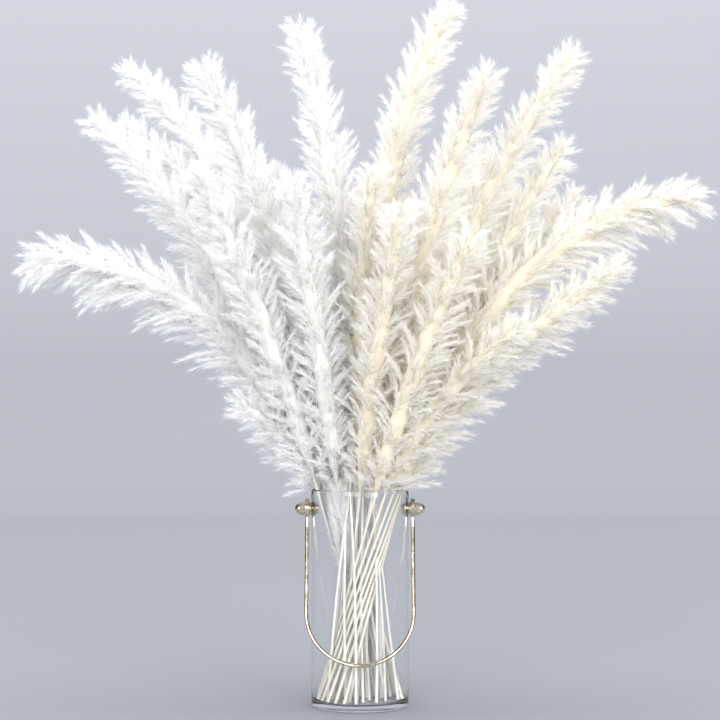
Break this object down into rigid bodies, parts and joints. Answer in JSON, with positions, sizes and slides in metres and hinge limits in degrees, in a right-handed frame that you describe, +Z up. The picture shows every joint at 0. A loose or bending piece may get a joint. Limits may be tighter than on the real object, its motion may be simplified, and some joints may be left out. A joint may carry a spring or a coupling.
{
  "type": "bundle of pampas grass in a glass vase",
  "caption": "Fluffy white and ivory dried pampas plumes fanned out of a clear glass cylinder vase with a swinging brass bail handle.",
  "frame": {"origin": "centre of the vase's underside", "axes": "+Z up along the vase; the handle hangs at the front, -Y; the bouquet fans out along X"},
  "size_m": [0.6403, 0.2564, 0.6748],
  "materials": {
    "clear_glass": "polished clear",
    "brass": "polished, lightly handled",
    "white_plume": "matte bleached fluff",
    "ivory_plume": "matte ivory fluff",
    "white_stem": "dry bleached reed",
    "ivory_stem": "dry straw reed"
  },
  "bodies": {
    "vase": {"vase_glass": "clear_glass", "bolt_left": "brass", "inner_washer_left": "brass", "outer_washer_left": "brass", "domed_nut_left": "brass", "bolt_right": "brass", "inner_washer_right": "brass", "outer_washer_right": "brass", "domed_nut_right": "brass", "stem_01": "white_stem", "plume_01": "white_plume", "stem_02": "white_stem", "plume_02": "white_plume", "stem_03": "white_stem", "plume_03": "white_plume", "stem_04": "white_stem", "plume_04": "white_plume", "stem_05": "white_stem", "plume_05": "white_plume", "stem_06": "white_stem", "plume_06": "white_plume", "stem_07": "white_stem", "plume_07": "white_plume", "stem_08": "white_stem", "plume_08": "white_plume", "stem_09": "white_stem", "plume_09": "white_plume", "stem_10": "white_stem", "plume_10": "white_plume", "stem_11": "white_stem", "plume_11": "white_plume", "stem_12": "white_stem", "plume_12": "white_plume", "stem_13": "ivory_stem", "plume_13": "ivory_plume", "stem_14": "ivory_stem", "plume_14": "ivory_plume", "stem_15": "ivory_stem", "plume_15": "ivory_plume", "stem_16": "ivory_stem", "plume_16": "ivory_plume", "stem_17": "ivory_stem", "plume_17": "ivory_plume", "stem_18": "ivory_stem", "plume_18": "ivory_plume", "stem_19": "ivory_stem", "plume_19": "ivory_plume", "stem_20": "ivory_stem", "plume_20": "ivory_plume", "stem_21": "ivory_stem", "plume_21": "ivory_plume", "stem_22": "ivory_stem", "plume_22": "ivory_plume", "stem_23": "ivory_stem", "plume_23": "ivory_plume", "stem_24": "ivory_stem", "plume_24": "ivory_plume", "stem_25": "ivory_stem", "plume_25": "ivory_plume"},
    "handle": {"handle": "brass"}
  },
  "joints": [
    {"name": "handle_pivot", "type": "hinge", "parent": "vase", "child": "handle", "pos_m": [0, 0, 0.182], "axis": [-1, 0, 0], "range_deg": [0, 90]}
  ]
}
